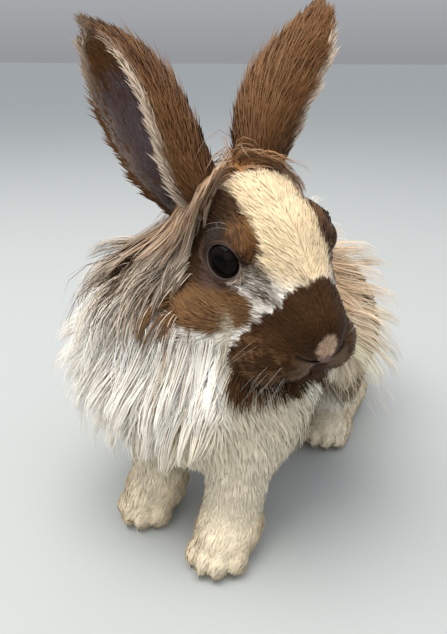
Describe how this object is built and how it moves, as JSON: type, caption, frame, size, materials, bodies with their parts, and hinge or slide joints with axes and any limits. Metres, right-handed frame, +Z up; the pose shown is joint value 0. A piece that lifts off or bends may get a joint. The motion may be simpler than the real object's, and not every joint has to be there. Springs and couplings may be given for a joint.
{
  "type": "lionhead rabbit",
  "caption": "Life-size standing lionhead rabbit with upright ears, a long mane, and its head turned to its left, as a still display model.",
  "frame": {"origin": "middle of the bounding box, on the floor between the four feet", "axes": "-Y is the way the body faces, +X is the animal's left, and +Z is up from the floor"},
  "size_m": [0.1692, 0.2764, 0.2451],
  "materials": {
    "brown_coat": "soft fur",
    "mane_coat": "long soft fur",
    "white_coat": "soft fur",
    "ticked_coat": "soft ticked fur",
    "eye": "wet gloss"
  },
  "bodies": {
    "root": {"ear_left": "brown_coat", "ear_right": "brown_coat", "eye_left": "eye", "eye_right": "eye", "foreleg_left": "white_coat", "foreleg_right": "white_coat", "forepaw_left": "white_coat", "forepaw_right": "white_coat", "haunch_left": "ticked_coat", "haunch_right": "ticked_coat", "head": "mane_coat", "hind_foot_left": "white_coat", "hind_foot_right": "white_coat", "neck": "white_coat", "tail": "ticked_coat", "torso": "ticked_coat"}
  },
  "joints": []
}
